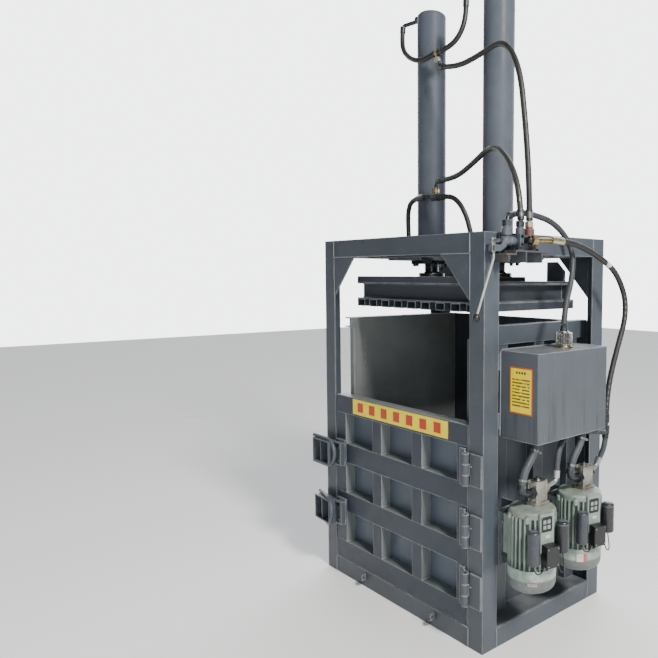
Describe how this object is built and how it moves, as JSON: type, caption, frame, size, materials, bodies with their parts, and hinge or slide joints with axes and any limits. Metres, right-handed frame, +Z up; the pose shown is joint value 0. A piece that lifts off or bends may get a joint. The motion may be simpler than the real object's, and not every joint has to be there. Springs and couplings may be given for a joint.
{
  "type": "recycling baler",
  "caption": "Vertical recycling baler: welded frame and press chamber, ribbed front door with swing latches, hydraulic cylinders over a platen, oil tank, motor pumps, lever valve and hoses.",
  "frame": {"origin": "middle of the frame's footprint, on the floor", "axes": "+X to the right seen from the door's side, +Y to the back, +Z up"},
  "size_m": [1.4294, 0.883, 2.757],
  "materials": {
    "frame_paint": "satin dark blue-grey paint, worn at edges",
    "bright_steel": "plain machined steel",
    "zinc": "zinc plated, dulled",
    "rod_chrome": "hard chrome",
    "cap_chrome": "bright knurled plating",
    "motor_green": "satin pale green paint",
    "cowl_grey": "dusty pale grey-green paint",
    "pump_aluminium": "matt extruded",
    "black_plastic": "satin moulded",
    "slate_plastic": "satin moulded",
    "hose_rubber": "matt rubber",
    "relief_red": "worn red paint",
    "gold_fitting": "yellow passivated"
  },
  "bodies": {
    "frame": {"post_front_left": "frame_paint", "post_front_right": "frame_paint", "post_back_left": "frame_paint", "post_back_right": "frame_paint", "top_beams": "frame_paint", "base_beams": "frame_paint", "gussets": "frame_paint", "cross_beams": "frame_paint", "left_wall": "frame_paint", "right_wall": "frame_paint", "back_wall": "frame_paint", "chamber_floor": "frame_paint", "chamber_rims": "frame_paint", "cylinder_left": "frame_paint", "cylinder_right": "frame_paint", "post_hinge_knuckles": "frame_paint", "frame_lugs": "frame_paint", "oil_tank": "frame_paint", "power_unit_brackets": "frame_paint", "valve_bracket": "frame_paint", "cylinder_glands": "frame_paint", "hinge_pins": "bright_steel", "flange_bolts": "bright_steel", "hose_fittings": "zinc", "upper_tee": "zinc", "lower_tee": "zinc", "pump_tee": "zinc", "valve_body": "zinc", "filler_cap": "cap_chrome", "motor_front": "motor_green", "motor_rear": "motor_green", "fan_cowls": "cowl_grey", "gear_pumps": "pump_aluminium", "terminal_boxes": "black_plastic", "capacitors": "slate_plastic", "upper_cylinder_hoses": "hose_rubber", "lower_cylinder_hoses": "hose_rubber", "riser_hoses": "hose_rubber", "return_hose": "hose_rubber", "pressure_hose": "hose_rubber", "pump_hoses": "hose_rubber", "suction_hoses": "hose_rubber", "relief_block": "relief_red", "pressure_fitting": "gold_fitting"},
    "platen": {"platen_frame": "frame_paint", "platen_plate": "frame_paint", "platen_bars": "frame_paint", "platen_guides": "frame_paint", "piston_rods": "rod_chrome"},
    "door": {"door_panel": "frame_paint", "door_grid": "frame_paint", "door_hinge_knuckles": "frame_paint", "latch_mounts": "frame_paint"},
    "upper_latch": {"latch_upper": "frame_paint"},
    "lower_latch": {"latch_lower": "frame_paint"},
    "spool": {"valve_spool": "bright_steel"},
    "lever": {"valve_lever": "bright_steel", "lever_knob": "black_plastic"},
    "front_rotor": {"rotor_front": "bright_steel"},
    "rear_rotor": {"rotor_rear": "bright_steel"}
  },
  "joints": [
    {"name": "platen_stroke", "type": "slide", "parent": "frame", "child": "platen", "axis": [0, 0, -1], "range_m": [0, 0.95]},
    {"name": "door_hinge", "type": "hinge", "parent": "frame", "child": "door", "pos_m": [0.478, -0.396, 0.485], "axis": [0, 0, 1], "range_deg": [0, 165]},
    {"name": "upper_latch_pin", "type": "hinge", "parent": "door", "child": "upper_latch", "pos_m": [-0.398, -0.404, 0.618], "axis": [0, 0, 1], "range_deg": [-4, 96]},
    {"name": "lower_latch_pin", "type": "hinge", "parent": "door", "child": "lower_latch", "pos_m": [-0.398, -0.404, 0.325], "axis": [0, 0, 1], "range_deg": [-1, 99]},
    {"name": "lever_pivot", "type": "hinge", "parent": "frame", "child": "lever", "pos_m": [0.6, -0.372, 1.587], "axis": [1, 0, 0], "range_deg": [-12, 12], "stiffness_Nm_per_rad": 20},
    {"name": "spool_slide", "type": "slide", "parent": "frame", "child": "spool", "axis": [0, 1, 0], "range_m": [-0.0062, 0.0062]},
    {"name": "front_rotor_spin", "type": "hinge", "parent": "frame", "child": "front_rotor", "pos_m": [0.69, -0.241, 0.4], "axis": [0, 0, 1], "continuous": true},
    {"name": "rear_rotor_spin", "type": "hinge", "parent": "frame", "child": "rear_rotor", "pos_m": [0.69, 0.054, 0.4], "axis": [0, 0, 1], "continuous": true}
  ],
  "couplings": [
    {"joint": "spool_slide", "follows": "lever_pivot", "m_per_rad": -0.028}
  ]
}
